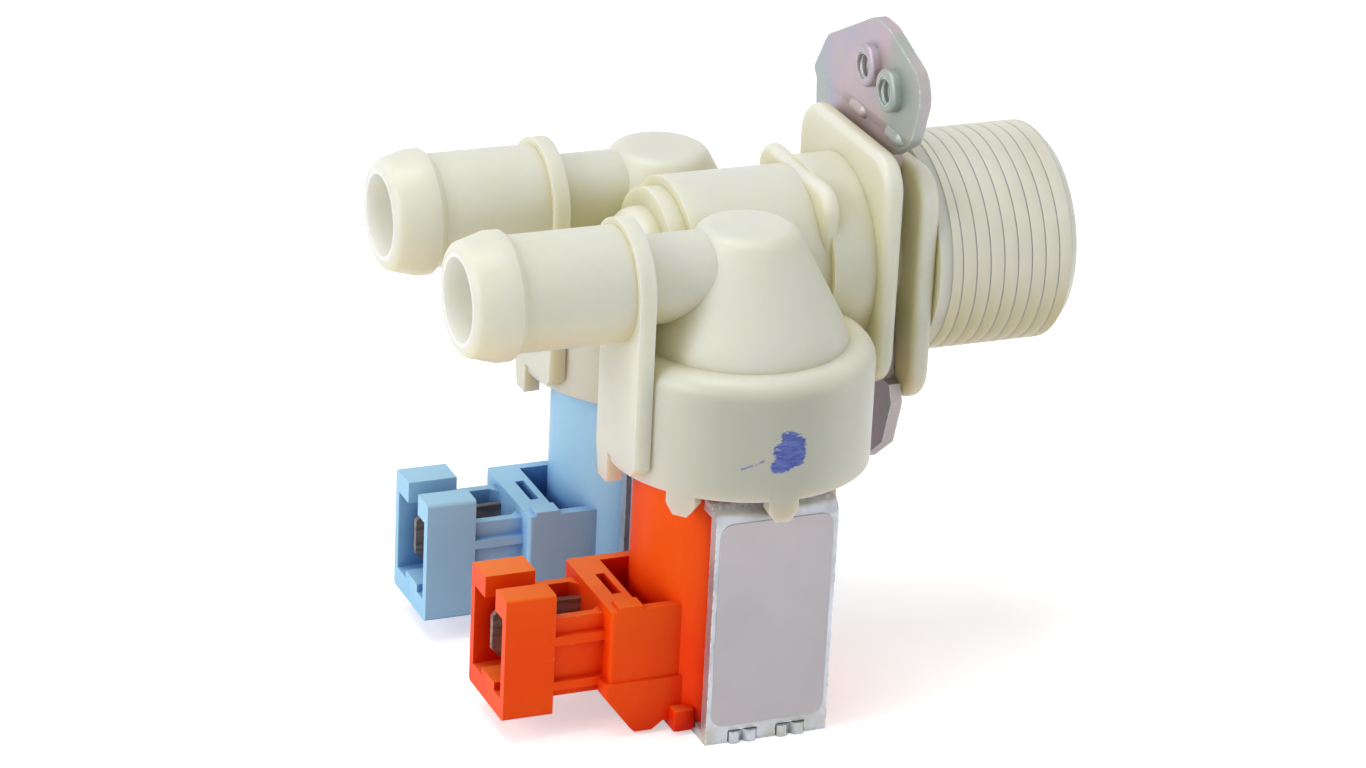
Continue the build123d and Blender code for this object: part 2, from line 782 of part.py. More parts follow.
# Coil housing: connector block and foot first, then the round body, then the mouth
with BuildPart() as coil_housing:
    with BuildSketch(Plane.XZ):
        Polygon(
            (block_front, block_top),
            (block_root, block_top),
            (block_root, block_bottom),
            (block_front, block_bottom),
            align=None,
        )
    extrude(amount=block_half_width, both=True)
    with BuildSketch(Plane.XZ):
        Polygon(
            (foot_slant_x, block_bottom),
            (block_root, block_bottom),
            (block_root, foot_bottom + foot_notch_height),
            (foot_notch_start + foot_notch_slant, foot_bottom + foot_notch_height),
            (foot_notch_start, foot_bottom),
            (foot_x, foot_bottom),
            (foot_x - foot_toe, foot_bottom + foot_toe),
            (foot_slant_x, foot_slant_z),
            align=None,
        )
    extrude(amount=block_half_width + foot_proud, both=True)
    corner_edges = coil_housing.edges().filter_by(Axis.Z)
    fillet(corner_edges.filter_by_position(Axis.X, foot_slant_x, block_front), moulding_round)
    with BuildSketch(Plane.XY.offset(block_top)):
        with Locations((pocket_front - corner_step_length / 2, corner_step_width / 2 - block_half_width)):
            Rectangle(corner_step_length, corner_step_width)
    extrude(amount=corner_step_height)
    with BuildSketch(Plane.XY.offset(block_top - pocket_depth)):
        with Locations(((pocket_front + valve_x) / 2, 0)):
            Rectangle(valve_x - pocket_front, 2 * pocket_half_width)
    extrude(amount=pocket_depth, mode=Mode.SUBTRACT)
    with BuildSketch(Plane.XY.offset(block_top - gusset_slot_depth)):
        with Locations((gusset_slot_x, 0)):
            Rectangle(gusset_slot_width, gusset_slot_length)
    extrude(amount=gusset_slot_depth, mode=Mode.SUBTRACT)
    with BuildSketch(valve_plan.offset(coil_bottom)):
        Circle(coil_radius)
        Rectangle(2 * coil_radius, 2 * coil_flat, mode=Mode.INTERSECT)
    extrude(amount=coil_shoulder_top - coil_bottom)
    with BuildSketch(valve_plan.offset(coil_top)):
        Rectangle(yoke_width + 2 * fit_gap, 4 * coil_radius)
    extrude(amount=coil_shoulder_top - coil_top, mode=Mode.SUBTRACT)
    with BuildSketch(valve_plan.offset(foot_bottom)):
        with GridLocations(yoke_width + 2 * fit_gap + pad_width, 2 * coil_flat - pad_depth, 2, 2):
            Rectangle(pad_width, pad_depth)
        Circle(coil_radius, mode=Mode.INTERSECT)
    extrude(amount=coil_bottom - foot_bottom)

    with BuildSketch(Plane.YZ.offset(mouth_x)):
        with Locations((0, (mouth_top + mouth_bottom) / 2)):
            RectangleRounded(2 * mouth_half_width, mouth_top - mouth_bottom, moulding_round)
    extrude(amount=mouth_length)
    with BuildSketch(Plane.XZ):
        with Locations((bridge_x, (bridge_top + bridge_bottom) / 2)):
            Rectangle(bridge_length, bridge_top - bridge_bottom)
    extrude(amount=mouth_half_width - bridge_inset, both=True)
    for level in rib_levels:
        with BuildSketch(Plane.XZ):
            with Locations((bridge_x, level)):
                Rectangle(bridge_length, rib_height)
        extrude(amount=mouth_half_width, both=True)
    with BuildSketch(Plane.YZ.offset(mouth_x)):
        with Locations((0, (mouth_top - mouth_roof + mouth_bottom + mouth_floor) / 2)):
            Rectangle(2 * (mouth_half_width - mouth_wall), mouth_height)
        with Locations((key_offset, mouth_bottom + mouth_floor + key_height / 2)):
            Rectangle(key_width, key_height, mode=Mode.SUBTRACT)
    extrude(amount=mouth_length, mode=Mode.SUBTRACT)
    with BuildSketch(Plane.YZ.offset(mouth_x)):
        with Locations((key_offset, mouth_top - mouth_roof / 2)):
            Rectangle(mouth_slot, mouth_roof)
    extrude(amount=mouth_length, mode=Mode.SUBTRACT)
    with BuildSketch(Plane.XY.offset(bridge_bottom + bridge_floor)) as trough:
        with Locations((bridge_x, 0)):
            Rectangle(bridge_length, 2 * bridge_half_width)
        chamfer(trough.vertices().group_by(Axis.X)[-1], bridge_gusset)
    extrude(amount=bridge_top - bridge_bottom - bridge_floor, mode=Mode.SUBTRACT)
    with BuildSketch(Plane.YZ.offset(block_front)):
        with Locations((-terminal_spacing / 2, terminal_z), (terminal_spacing / 2, terminal_z)):
            Rectangle(terminal_thickness, terminal_width)
    extrude(amount=pocket_front - block_front, mode=Mode.SUBTRACT)

    add(ring(bobbin_bore_radius, 0, foot_bottom, coil_shoulder_top), mode=Mode.SUBTRACT)
    add(ring(bobbin_flange_radius + fit_gap, 0, bobbin_bottom, bobbin_top), mode=Mode.SUBTRACT)

# U-shaped yoke, with notches at the leg ends for the plate's tabs
with BuildPart() as yoke:
    with BuildSketch(Plane.YZ.offset(valve_x - yoke_width / 2)) as yoke_profile:
        with Locations((0, (yoke_top + yoke_bottom) / 2)):
            Rectangle(2 * leg_outer, yoke_top - yoke_bottom)
        with Locations((0, (yoke_inner_top + yoke_bottom) / 2)):
            Rectangle(2 * leg_inner, yoke_inner_top - yoke_bottom, mode=Mode.SUBTRACT)
        top_corners = yoke_profile.vertices().filter_by_position(Axis.Y, yoke_inner_top, yoke_top)
        fillet(top_corners.group_by(Axis.Y)[-1], yoke_bend_radius + yoke_sheet)
        fillet(top_corners.group_by(Axis.Y)[0], yoke_bend_radius)
    extrude(amount=yoke_width)
    with BuildSketch(valve_plan.offset(yoke_inner_top)):
        Circle(sleeve_bore_radius)
    extrude(amount=yoke_sheet, mode=Mode.SUBTRACT)
    with BuildSketch(Plane.XZ):
        with Locations(*[(x, tab_height) for x in tab_places]):
            Rectangle(tab_width + 2 * fit_gap, yoke_sheet + 2 * fit_gap)
    extrude(amount=leg_outer, both=True, mode=Mode.SUBTRACT)

# Plate that closes the yoke below; its tabs pass through the legs and are split by the staking tool
with BuildPart() as yoke_plate:
    with BuildSketch(Plane.XY.offset(yoke_bottom)) as plate_outline:
        with Locations((valve_x, 0)):
            Rectangle(yoke_width, 2 * leg_inner)
        with Locations(*[(x, 0) for x in tab_places]):
            Rectangle(tab_width, 2 * tab_end)
        fillet(plate_outline.vertices().filter_by(lambda corner: abs(corner.Y) > leg_outer), tab_round)
        for x in tab_places:
            for side in (-1, 1):
                Polygon(
                    (x - stake_width / 2, side * tab_end),
                    (x + stake_width / 2, side * tab_end),
                    (x, side * (tab_end - stake_depth)),
                    align=None,
                    mode=Mode.SUBTRACT,
                )
        with Locations((valve_x, 0)):
            Circle(sleeve_bore_radius, mode=Mode.SUBTRACT)
    extrude(amount=yoke_sheet)

# Blade terminal on the connector's centre plane
with BuildPart() as terminal:
    with BuildSketch(Plane.XZ) as blade:
        with Locations(((terminal_tip + terminal_root) / 2, terminal_z)):
            Rectangle(terminal_root - terminal_tip, terminal_width)
        chamfer(blade.vertices().group_by(Axis.X)[0], terminal_chamfer)
        with Locations((terminal_tip + terminal_hole_inset, terminal_z)):
            Circle(terminal_hole_radius, mode=Mode.SUBTRACT)
    extrude(amount=terminal_thickness / 2, both=True)

with BuildPart() as yoke_label:
    with BuildSketch(Plane.XZ.offset(valve_spacing / 2 + leg_outer)):
        with Locations((valve_x, (label_top + label_bottom) / 2)):
            RectangleRounded(yoke_width - 2 * label_side_margin, label_top - label_bottom, label_corner)
    extrude(amount=label_thickness)

# Every piece in its place: what one valve holds stands twice, at the front and at the rear
pieces = {
    "valve_body": (valve_body.part, 0),
    "mounting_bracket": (mounting_bracket.part, 0),
    "inlet_strainer": (inlet_strainer.part, 0),
    "flow_regulator_holder": (flow_regulator_holder.part, 0),
    "flow_washer": (flow_washer.part, 0),
    "yoke_label": (yoke_label.part, 0),
}
valve_pieces = {
    "coil_housing": coil_housing.part,
    "yoke": yoke.part,
    "yoke_plate": yoke_plate.part,
    "bobbin": bobbin,
    "winding": winding,
    "upper_sleeve": upper_sleeve,
    "lower_sleeve": lower_sleeve,
    "bonnet": bonnet,
    "diaphragm": diaphragm,
    "diaphragm_insert": diaphragm_insert,
    "armature": armature,
    "armature_seal": armature_seal,
    "armature_spring": armature_spring.part,
}
for valve, side in (("front", -1), ("rear", 1)):
    for name, piece in valve_pieces.items():
        pieces[f"{valve}_{name}"] = (piece, side * valve_spacing / 2)
    for number, blade_y in enumerate((-terminal_spacing / 2, terminal_spacing / 2), start=1):
        pieces[f"{valve}_terminal_{number}"] = (terminal.part, side * valve_spacing / 2 + blade_y)

os.makedirs("parts", exist_ok=True)
for name, (piece, y) in pieces.items():
    with BuildPart() as placed:
        with Locations((0, y, 0)):
            add(piece)
    placed.part.label = name
    export_step(placed.part, f"parts/{name}.step")
    print(f"{name:26} {placed.part.volume:10.1f} mm3, valid {placed.part.is_valid}")
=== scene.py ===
import json
from math import cos, pi, radians, sin

import bmesh
import bpy
from mathutils import Matrix, Vector


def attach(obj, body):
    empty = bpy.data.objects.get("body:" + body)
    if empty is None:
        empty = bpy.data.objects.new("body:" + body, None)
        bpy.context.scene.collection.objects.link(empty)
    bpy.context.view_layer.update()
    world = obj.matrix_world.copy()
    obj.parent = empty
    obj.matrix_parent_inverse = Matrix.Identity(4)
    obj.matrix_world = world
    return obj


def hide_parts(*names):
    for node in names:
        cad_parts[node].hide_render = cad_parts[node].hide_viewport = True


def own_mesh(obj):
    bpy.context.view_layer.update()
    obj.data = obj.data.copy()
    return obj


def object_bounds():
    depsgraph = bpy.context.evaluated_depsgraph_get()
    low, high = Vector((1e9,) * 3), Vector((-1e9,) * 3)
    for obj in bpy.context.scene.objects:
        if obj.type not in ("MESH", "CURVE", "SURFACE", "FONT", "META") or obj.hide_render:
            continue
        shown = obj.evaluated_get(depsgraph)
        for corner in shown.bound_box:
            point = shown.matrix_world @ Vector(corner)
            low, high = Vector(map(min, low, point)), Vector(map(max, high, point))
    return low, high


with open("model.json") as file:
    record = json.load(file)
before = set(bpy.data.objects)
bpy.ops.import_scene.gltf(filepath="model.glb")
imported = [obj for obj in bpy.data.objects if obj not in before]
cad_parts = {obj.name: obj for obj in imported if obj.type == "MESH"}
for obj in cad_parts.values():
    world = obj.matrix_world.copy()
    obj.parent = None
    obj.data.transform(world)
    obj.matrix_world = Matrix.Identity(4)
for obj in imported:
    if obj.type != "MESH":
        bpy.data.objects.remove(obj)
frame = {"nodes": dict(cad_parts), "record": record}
nodes = frame["nodes"]
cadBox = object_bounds()
print("frame loaded:", len(nodes), "nodes")

# Camera, in the place from which the photograph was taken
photoCamera = {
    "turn": 23.181,  # degrees from straight ahead, towards the thread
    "tilt": 22.957,  # degrees downwards
    "roll": 2.848,
    "distance": 0.54243,
    "target": (-0.026701, 0, -0.015553),
    "focal": 119.466,
}


def addCamera(setting):
    turn, tilt, roll = (radians(setting[key]) for key in ("turn", "tilt", "roll"))
    look = Vector((sin(turn) * cos(tilt), cos(turn) * cos(tilt), -sin(tilt)))
    right = Vector((cos(turn), -sin(turn), 0))
    up = right.cross(look)
    rolledRight = cos(roll) * right + sin(roll) * up
    rolledUp = cos(roll) * up - sin(roll) * right
    lens = bpy.data.cameras.new("photoCamera")
    lens.lens = setting["focal"]
    lens.clip_start = 0.01
    camera = bpy.data.objects.new("photoCamera", lens)
    bpy.context.scene.collection.objects.link(camera)
    turned = Matrix((rolledRight, rolledUp, -look)).transposed().to_4x4()
    place = Vector(setting["target"]) - look * setting["distance"]
    camera.matrix_world = Matrix.Translation(place) @ turned
    bpy.context.scene.camera = camera


addCamera(photoCamera)
print("camera set")


# Sockets that can be added, multiplied and compared like numbers
class Wire:
    def __init__(self, tree, socket):
        self.tree = tree
        self.socket = socket

    def maths(self, operation, *others):
        return Nodes(self.tree).add("ShaderNodeMath", {"operation": operation}, (self, *others))

    def __add__(self, other):
        return self.maths("ADD", other)

    def __radd__(self, other):
        return self + other

    def __sub__(self, other):
        return self.maths("SUBTRACT", other)

    def __rsub__(self, other):
        return (self * -1) + other

    def __mul__(self, other):
        return self.maths("MULTIPLY", other)

    def __rmul__(self, other):
        return self * other

    def __truediv__(self, other):
        return self.maths("DIVIDE", other)

    def __pow__(self, other):
        return self.maths("POWER", other)

    def size(self):
        return self.maths("ABSOLUTE")

    def either(self, other):  # the larger of the two
        return self.maths("MAXIMUM", other)

    def step(self, low, high):  # 0 below low, 1 above high, smooth between them
        return Nodes(self.tree).add(
            "ShaderNodeMapRange",
            {"interpolation_type": "SMOOTHSTEP"},
            {"Value": self, "From Min": low, "From Max": high},
        )


class Nodes:
    def __init__(self, tree):
        self.tree = tree

    def add(self, kind, settings=None, values=None, output=0):
        node = self.tree.nodes.new(kind)
        for key, value in (settings or {}).items():
            if key == "stops":
                ramp = node.color_ramp
                while len(ramp.elements) < len(value):
                    ramp.elements.new(1)
                for element, (place, colour) in zip(ramp.elements, value):
                    element.position = place
                    element.color = colour
            else:
                setattr(node, key, value)
        pairs = values.items() if isinstance(values, dict) else enumerate(values or ())
        for key, value in pairs:
            socket = node.inputs[key]
            if isinstance(value, Wire):
                self.tree.links.new(value.socket, socket)
            elif value is not None:
                socket.default_value = value
        return Wire(self.tree, node.outputs[output]) if node.outputs else None

    def place(self):
        return self.add("ShaderNodeTexCoord", output="Object")

    def axes(self):
        place = self.place()
        return [self.add("ShaderNodeSeparateXYZ", None, [place], output=letter) for letter in "XYZ"]

    def noise(self, scale, detail=3, rough=0.5, stretch=None):
        place = self.place()
        if stretch:
            place = self.add("ShaderNodeMapping", None, {"Vector": place, "Scale": stretch})
        return self.add(
            "ShaderNodeTexNoise",
            None,
            {"Vector": place, "Scale": scale, "Detail": detail, "Roughness": rough},
        )

    def blend(self, factor, first, second, kind="MIX"):
        node = self.tree.nodes.new("ShaderNodeMix")
        node.data_type = "RGBA"
        node.blend_type = kind
        sockets = (node.inputs[index] for index in (0, 6, 7))  # factor and both colours
        for socket, value in zip(sockets, (factor, first, second)):
            if isinstance(value, Wire):
                self.tree.links.new(value.socket, socket)
            else:
                socket.default_value = value
        return Wire(self.tree, node.outputs[2])

    def bump(self, height, strength, distance):
        values = {"Height": height, "Strength": strength, "Distance": distance}
        return self.add("ShaderNodeBump", None, values)

    def edge(self, radius, low=0.9):  # 1 along sharp edges, 0 on flat and gently curved places
        softened = self.add("ShaderNodeBevel", None, {"Radius": radius})
        facing = self.add("ShaderNodeNewGeometry", output="Normal")
        dot = {"operation": "DOT_PRODUCT"}
        alike = self.add("ShaderNodeVectorMath", dot, [softened, facing], "Value")
        return 1 - alike.step(low, 1.0)

    def upward(self):  # 1 on faces that look up, -1 on those that look down
        facing = self.add("ShaderNodeNewGeometry", output="Normal")
        return self.add("ShaderNodeSeparateXYZ", None, [facing], output="Z")

    def openness(self, distance):  # 0 deep in corners and hollows, 1 in the open
        few = {"samples": 8}
        return self.add("ShaderNodeAmbientOcclusion", few, {"Distance": distance}, output="AO")


def rgb(red, green, blue):  # a screen colour, 0 to 255, as Blender's linear one
    def linear(value):
        value /= 255
        return value / 12.92 if value <= 0.04045 else ((value + 0.055) / 1.055) ** 2.4

    return (linear(red), linear(green), linear(blue), 1)


def newMaterial(name, fixed, build):
    material = bpy.data.materials.new(name)
    material.use_nodes = True
    tree = material.node_tree
    shader = tree.nodes["Principled BSDF"]
    for key, value in fixed.items():
        shader.inputs[key].default_value = value
    for key, wire in build(Nodes(tree)).items():
        tree.links.new(wire.socket, shader.inputs[key])
    return material


# Natural nylon of the body: milky, with yellower painted shade in hollows and painted light where
# light comes through
nylon = {
    "milky": rgb(226, 227, 214),
    "cloudy": rgb(215, 213, 193),
    # painted shade, yellower, for corners and hollows
    "sheltered": rgb(210, 202, 148),
    "lit": rgb(234, 223, 184),  # undersides, where light comes through
    # painted shade: the skirt greyer where its thin wall lies over the coil cup's dark inside
    "thin": rgb(184, 186, 172),  # over the dark insides of the coil's cup
    # painted light, near white, inside the spigots' bores
    "bore": rgb(250, 250, 238),
    # painted orange light thrown from the coils onto the nylon nearest them
    "peach": rgb(226, 204, 184),  # nearest to the coils
    "ridge": rgb(238, 236, 219),
    # painted shade, yellower, for the thread's undersides
    "ridgeBelow": rgb(206, 196, 152),
    "spigotAxes": (0.0138, 0.00436),  # distance to either side, and height
    "spigotBore": (0.0052, 0.0056),  # each pair below: where a change begins and ends
    "boreDepth": (-0.044, -0.042),
    "cupTop": (-0.006, -0.003),
    "cupLeft": (-0.043, -0.032),
    "cupRight": (-0.025, -0.017),
    "coilWarmth": (-0.0215, -0.016),
    "glass": {
        "IOR": 1.5,
        "Subsurface Weight": 0.85,
        "Subsurface Radius": (0.9, 0.8, 0.5),
        "Subsurface Scale": 0.004,
    },
}

# Blot of marking ink on the front skirt, brushed on in a few strokes
inkBlot = {
    "ink": rgb(52, 74, 176),
    "thin": rgb(96, 122, 196),
    "strokes": (  # centre along X and Z, half length, half height, slope
        (-0.02530, -0.01050, 0.00165, 0.00105, -0.3),
        (-0.02566, -0.01190, 0.00215, 0.00140, 0.0),
        (-0.02630, -0.01345, 0.00175, 0.00115, 0.2),
        (-0.02460, -0.01230, 0.00100, 0.00175, 0.0),
    ),
    "trail": ((-0.0312, -0.0140), (-0.0286, -0.0129)),
    "trailWidth": 0.00012,
    "front": -0.0276,  # the ink lies on what is nearer to the viewer than this
}


def inkMask(make, setting):
    x, y, z = make.axes()
    ragged = make.noise(2000, 4, 0.75, stretch=(0.6, 0.6, 1.6)) - 0.5
    blot = None
    for strokeX, strokeZ, halfLength, halfHeight, slope in setting["strokes"]:
        along = (x - strokeX) / halfLength
        across = (z - strokeZ - (x - strokeX) * slope) / halfHeight
        stroke = 1 - ((along * along + across * across) ** 0.5 + ragged * 0.9).step(0.86, 1.02)
        blot = blot.either(stroke) if blot else stroke
    gaps = make.noise(1100, 2, 0.5, stretch=(0.6, 0.6, 1.9)).step(0.33, 0.36)
    (startX, startZ), (endX, endZ) = setting["trail"]
    reach = (x - startX) / (endX - startX)
    offLine = (z - startZ - reach * (endZ - startZ)).size()
    dots = make.noise(2600, 2, 0.5).step(0.42, 0.5)
    within = (reach * (1 - reach)).step(0.0, 0.02)
    onLine = 1 - offLine.step(setting["trailWidth"] * 0.6, setting["trailWidth"] * 1.8)
    trail = onLine * dots * within
    front = 1 - y.step(setting["front"] - 0.0001, setting["front"])
    return (blot * gaps).either(trail * 0.75) * front


def nylonLook(make):
    x, y, z = make.axes()
    cloud = make.noise(60, 4, 0.5)
    aside, height = nylon["spigotAxes"]
    fromAxis = ((y.size() - aside) ** 2 + (z - height) ** 2) ** 0.5
    inBore = (1 - x.step(*nylon["boreDepth"])) * (1 - fromAxis.step(*nylon["spigotBore"]))
    # painted shade, yellower, in corners and hollows, left out of the bores
    hollow = (1 - make.openness(0.02).step(0.2, 0.9)) * (1 - inBore)
    tone = make.blend(cloud.step(0.42, 0.72) * 0.5, nylon["milky"], nylon["cloudy"])
    # painted shade: greyer low on the skirt over the coil cup's dark inside
    inFront = x.step(*nylon["cupLeft"]) * (1 - x.step(*nylon["cupRight"]) * 0.6)
    cupShade = (1 - z.step(*nylon["cupTop"])) * inFront
    tone = make.blend(cupShade * 0.8, tone, nylon["thin"])
    tone = make.blend(hollow * 0.65, tone, nylon["sheltered"])
    tone = make.blend((1 - make.upward().step(-0.8, 0.1)) * 0.7, tone, nylon["lit"])
    # painted light inside the spigots' bores
    tone = make.blend(inBore, tone, nylon["bore"])
    # painted orange light from the coils, low on the body
    tone = make.blend((1 - z.step(*nylon["coilWarmth"])) * 0.5, tone, nylon["peach"])
    ink = inkMask(make, inkBlot)
    strokes = make.noise(1300, 3, 0.6, stretch=(0.5, 0.5, 2))
    inkTone = make.blend(strokes.step(0.35, 0.7), inkBlot["ink"], inkBlot["thin"])
    tone = make.blend(ink * 0.94, tone, inkTone)
    flow = make.noise(170, 2, 0.5) * 2 + make.noise(1100, 2, 0.6)
    return {
        "Base Color": tone,
        "Roughness": 0.3 + cloud * 0.16 + ink * 0.2,
        "Normal": make.bump(flow, 0.06, 0.0005),
    }


def threadLook(make):  # the thread's thin ridge can't let light through as the body does
    cloud = make.noise(60, 4, 0.5)
    tone = make.blend(cloud.step(0.4, 0.7) * 0.5, nylon["ridge"], nylon["cloudy"])
    # painted shade, yellower, on the ridge's undersides
    tone = make.blend(1 - make.upward().step(-0.7, 0.3), tone, nylon["ridgeBelow"])
    return {"Base Color": tone, "Roughness": 0.3 + cloud * 0.16}


# Coil plastics, with a parting line down the round side and scuffs along the connector
coilPlastics = {
    "orange": {
        "face": rgb(254, 66, 0),
        "light": rgb(255, 96, 14),
        # painted light for faces that look up, then painted shade for hollows
        "top": rgb(255, 138, 58),
        "hollow": rgb(214, 10, 0),
        "scuff": rgb(255, 170, 110),
        "centre": (-0.0254, -0.0138),
    },
    "blue": {
        "face": rgb(148, 206, 243),
        "light": rgb(174, 222, 250),
        # painted light for faces that look up, then painted shade for hollows
        "top": rgb(176, 222, 250),
        "hollow": rgb(84, 136, 200),
        "scuff": rgb(206, 232, 246),
        "centre": (-0.0254, 0.0138),
    },
}
coilMoulding = {
    "partingAngle": radians(-141.4),
    "paleAbove": (-0.040, -0.028),  # heights between which the plastic gets paler
}


def coilLook(plastic):
    def build(make):
        x, y, z = make.axes()
        tone = make.noise(80, 3, 0.5)
        hollow = 1 - make.openness(0.008).step(0.2, 0.85)
        edge = make.edge(0.0003)
        centreX, centreY = plastic["centre"]
        angle = (y - centreY).maths("ARCTAN2", x - centreX) - coilMoulding["partingAngle"]
        seam = 1 - angle.size().step(0.004, 0.012)
        base = make.blend(tone.step(0.35, 0.75) * 0.45, plastic["face"], plastic["light"])
        base = make.blend(z.step(*coilMoulding["paleAbove"]) * 0.6, base, plastic["light"])
        # painted light on faces that look up
        base = make.blend(make.upward().step(0.4, 1) * 0.8, base, plastic["top"])
        base = make.blend((angle * -1).step(0.0, 0.008) * 0.35, base, plastic["light"])
        # painted shade in hollows
        base = make.blend(hollow * 0.9, base, plastic["hollow"])
        # painted highlight along the edges
        base = make.blend(edge * 0.35, base, plastic["light"])
        scratch = make.noise(700, 4, 0.75, stretch=(0.35, 1, 2.2)).step(0.655, 0.69)
        base = make.blend(scratch * (edge * 0.9 + 0.1) * 0.8, base, plastic["scuff"])
        height = make.noise(1600, 2, 0.5) - seam * 2
        return {
            "Base Color": base,
            "Roughness": 0.36 + tone * 0.14 + scratch * 0.2,
            "Normal": make.bump(height, 0.06, 0.0003),
        }

    return build


# Zinc-plated steel of the yokes: spangled, dull in patches; its cut edges carry painted glints and
# dark specks
yokeSteel = {
    "flat": rgb(204, 208, 216),
    "dull": rgb(170, 174, 181),
    "yellowed": rgb(196, 190, 160),
    # painted glints and painted light for the top face, then painted shade for crevices and dark
    # edge specks
    "bright": rgb(240, 241, 244),
    "soot": rgb(72, 74, 78),
    "footHeights": (-0.05, -0.044),
    "topHeights": (-0.0205, -0.0198),
}


def yokeLook(make):
    z = make.axes()[2]
    grain = make.noise(260, 4, 0.6, stretch=(5, 5, 0.6))
    patches = make.noise(150, 5, 0.65)
    specks = make.noise(1500, 3, 0.7)
    edge = make.edge(0.0004, 0.8)
    creviceShade = 1 - make.openness(0.0012).step(0.25, 0.7)
    base = make.blend(patches.step(0.35, 0.7), yokeSteel["flat"], yokeSteel["dull"])
    foot = 1 - z.step(*yokeSteel["footHeights"])
    base = make.blend(foot * patches.step(0.4, 0.6) * 0.5, base, yokeSteel["yellowed"])
    # painted glints along the cut edges
    base = make.blend(edge * specks.step(0.42, 0.62), base, yokeSteel["bright"])
    # painted dark specks along the cut edges
    base = make.blend(edge * (1 - specks.step(0.36, 0.46)) * 0.6, base, yokeSteel["soot"])
    # painted shade in crevices
    base = make.blend(creviceShade * 0.6, base, yokeSteel["soot"])
    top = z.step(*yokeSteel["topHeights"])
    # painted light in specks on the top face, which lies in shade under the skirt
    base = make.blend(top * specks.step(0.4, 0.6), base, yokeSteel["bright"])
    normal = make.bump(grain * 0.6 + patches + specks * edge * 2, 0.16, 0.0003)
    return {
        "Base Color": base,
        "Metallic": 0.65 - top * 0.65,
        "Roughness": 0.24 + patches * 0.24,
        "Normal": normal,
    }


# Passivated zinc of the bracket, with its thin rainbow of pink, lilac and green
bracketZinc = {
    "film": (
        (0.30, rgb(152, 170, 162)),
        (0.40, rgb(166, 172, 169)),
        (0.48, rgb(190, 173, 178)),
        (0.56, rgb(178, 171, 187)),
        (0.64, rgb(166, 178, 181)),
        (0.74, rgb(192, 180, 169)),
    ),
    "edge": rgb(176, 206, 190),
    "glint": rgb(236, 246, 240),
    # painted shade for hollows
    "soot": rgb(92, 104, 88),
}


def bracketLook(make):
    drift = make.noise(42, 2, 0.5, stretch=(1, 1.4, 0.8)) * 0.8 + make.noise(160, 3, 0.6) * 0.2
    film = make.add("ShaderNodeValToRGB", {"stops": bracketZinc["film"]}, [drift])
    specks = make.noise(1300, 3, 0.7)
    edge = make.edge(0.0004, 0.75)
    hollow = 1 - make.openness(0.0012).step(0.2, 0.75)
    base = make.blend(edge * 0.8, film, bracketZinc["edge"])
    base = make.blend(edge * specks.step(0.5, 0.62) * 0.8, base, bracketZinc["glint"])
    # painted shade in hollows
    base = make.blend(hollow * 0.7, base, bracketZinc["soot"])
    normal = make.bump(make.noise(480, 4, 0.6) + specks * edge * 2, 0.1, 0.0003)
    return {"Base Color": base, "Roughness": 0.44 + specks * 0.14, "Normal": normal}


# Tinned blades, browned by handling
terminalTin = {"brown": rgb(132, 116, 108), "tin": rgb(184, 172, 164)}


def terminalLook(make):
    grain = make.noise(300, 3, 0.6, stretch=(0.5, 4, 4))
    base = make.blend(grain.step(0.3, 0.7), terminalTin["brown"], terminalTin["tin"])
    normal = make.bump(grain, 0.08, 0.0002)
    return {"Base Color": base, "Roughness": 0.32 + grain * 0.2, "Normal": normal}


# Film label: pale lilac grey with faint clouds
labelFilm = {"pale": rgb(212, 206, 210), "cloud": rgb(198, 195, 200)}


def labelLook(make):
    fibre = make.noise(700, 3, 0.6)
    tone = make.noise(55, 3, 0.55)
    base = make.blend(tone.step(0.35, 0.7), labelFilm["pale"], labelFilm["cloud"])
    normal = make.bump(fibre, 0.04, 0.0002)
    return {"Base Color": base, "Roughness": 0.4 + fibre * 0.12, "Normal": normal}


# Finishes of the pieces inside: two close tones, the size of their clouds and the roughness
plainFinishes = {
    "strainer": (rgb(232, 232, 226), rgb(214, 214, 206), 300, 0.4),
    "inner": (rgb(216, 214, 204), rgb(196, 194, 184), 300, 0.4),
    "rubber": (rgb(30, 30, 32), rgb(46, 46, 48), 500, 0.6),
    "steel": (rgb(186, 186, 188), rgb(140, 140, 142), 400, 0.3),
}


def plainLook(finish):
    colour, darker, scale, rough = plainFinishes[finish]

    def build(make):
        tone = make.noise(scale, 3, 0.6)
        base = make.blend(tone.step(0.3, 0.7), colour, darker)
        normal = make.bump(tone, 0.05, 0.0002)
        return {"Base Color": base, "Roughness": rough + tone * 0.15, "Normal": normal}

    return build


windingCopper = {"shaded": rgb(120, 52, 20), "lit": rgb(214, 120, 60)}


def windingLook(make):  # turns of enamelled wire
    turns = make.add(
        "ShaderNodeTexWave",
        {"wave_type": "BANDS", "bands_direction": "Z"},
        {"Vector": make.place(), "Scale": 1500, "Distortion": 0.4},
    )
    base = make.blend(turns, windingCopper["shaded"], windingCopper["lit"])
    return {"Base Color": base, "Normal": make.bump(turns, 0.4, 0.0001)}


